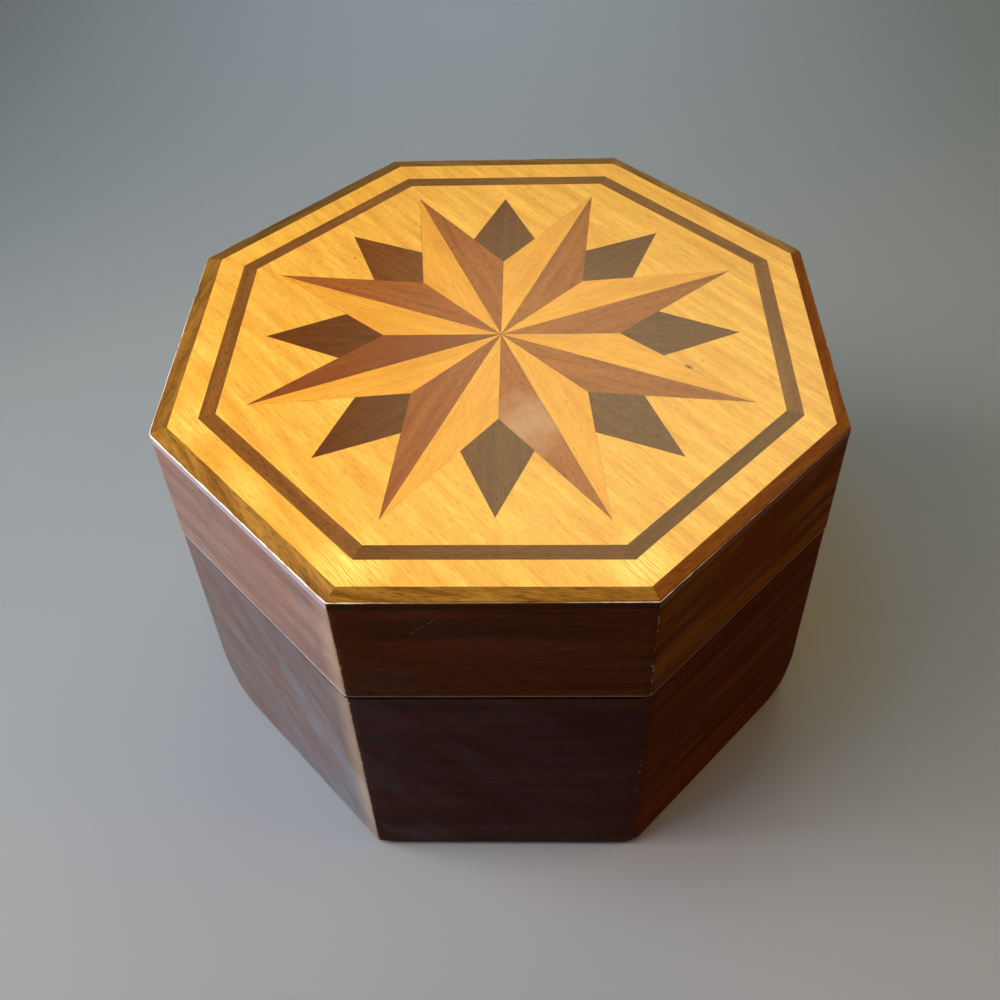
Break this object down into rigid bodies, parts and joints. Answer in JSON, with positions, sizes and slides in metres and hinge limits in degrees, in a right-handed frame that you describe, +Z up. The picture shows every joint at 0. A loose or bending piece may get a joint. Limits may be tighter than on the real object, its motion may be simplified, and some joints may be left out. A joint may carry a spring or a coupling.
{
  "type": "jewelry box",
  "caption": "Octagonal wooden jewelry box with a lift-off lid whose top is inlaid with a split-point star, dark diamonds, a stringing line and a light border.",
  "frame": {"origin": "middle of the underside, on the surface that the box stands on", "axes": "+Z up through the lid; -Y towards the front side, the middle one in the picture; +X to the right as seen from the front"},
  "size_m": [0.15, 0.15, 0.1],
  "materials": {
    "walnut_sides": "polished and worn, semi-gloss, uneven colour",
    "walnut_banding": "polished, semi-gloss, rubbed pale along the outer edge",
    "walnut_stringing": "polished, semi-gloss",
    "walnut_diamonds": "polished, semi-gloss",
    "mahogany_veneer": "polished, semi-gloss",
    "satinwood_veneer": "polished, semi-gloss, fine grain",
    "plain_boards": "bare wood, matt"
  },
  "bodies": {
    "root": {"base_side_1": "walnut_sides", "base_side_2": "walnut_sides", "base_side_3": "walnut_sides", "base_side_4": "walnut_sides", "base_side_5": "walnut_sides", "base_side_6": "walnut_sides", "base_side_7": "walnut_sides", "base_side_8": "walnut_sides", "base_bottom": "plain_boards", "lid_side_1": "walnut_sides", "lid_side_2": "walnut_sides", "lid_side_3": "walnut_sides", "lid_side_4": "walnut_sides", "lid_side_5": "walnut_sides", "lid_side_6": "walnut_sides", "lid_side_7": "walnut_sides", "lid_side_8": "walnut_sides", "lid_board": "plain_boards", "lid_banding_1": "walnut_banding", "lid_banding_2": "walnut_banding", "lid_banding_3": "walnut_banding", "lid_banding_4": "walnut_banding", "lid_banding_5": "walnut_banding", "lid_banding_6": "walnut_banding", "lid_banding_7": "walnut_banding", "lid_banding_8": "walnut_banding", "lid_border": "satinwood_veneer", "lid_stringing_1": "walnut_stringing", "lid_stringing_2": "walnut_stringing", "lid_stringing_3": "walnut_stringing", "lid_stringing_4": "walnut_stringing", "lid_stringing_5": "walnut_stringing", "lid_stringing_6": "walnut_stringing", "lid_stringing_7": "walnut_stringing", "lid_stringing_8": "walnut_stringing", "lid_ground": "satinwood_veneer", "star_dark_1": "mahogany_veneer", "star_dark_2": "mahogany_veneer", "star_dark_3": "mahogany_veneer", "star_dark_4": "mahogany_veneer", "star_dark_5": "mahogany_veneer", "star_dark_6": "mahogany_veneer", "star_dark_7": "mahogany_veneer", "star_dark_8": "mahogany_veneer", "star_light_1": "satinwood_veneer", "star_light_2": "satinwood_veneer", "star_light_3": "satinwood_veneer", "star_light_4": "satinwood_veneer", "star_light_5": "satinwood_veneer", "star_light_6": "satinwood_veneer", "star_light_7": "satinwood_veneer", "star_light_8": "satinwood_veneer", "diamond_1": "walnut_diamonds", "diamond_2": "walnut_diamonds", "diamond_3": "walnut_diamonds", "diamond_4": "walnut_diamonds", "diamond_5": "walnut_diamonds", "diamond_6": "walnut_diamonds", "diamond_7": "walnut_diamonds", "diamond_8": "walnut_diamonds"}
  },
  "joints": []
}
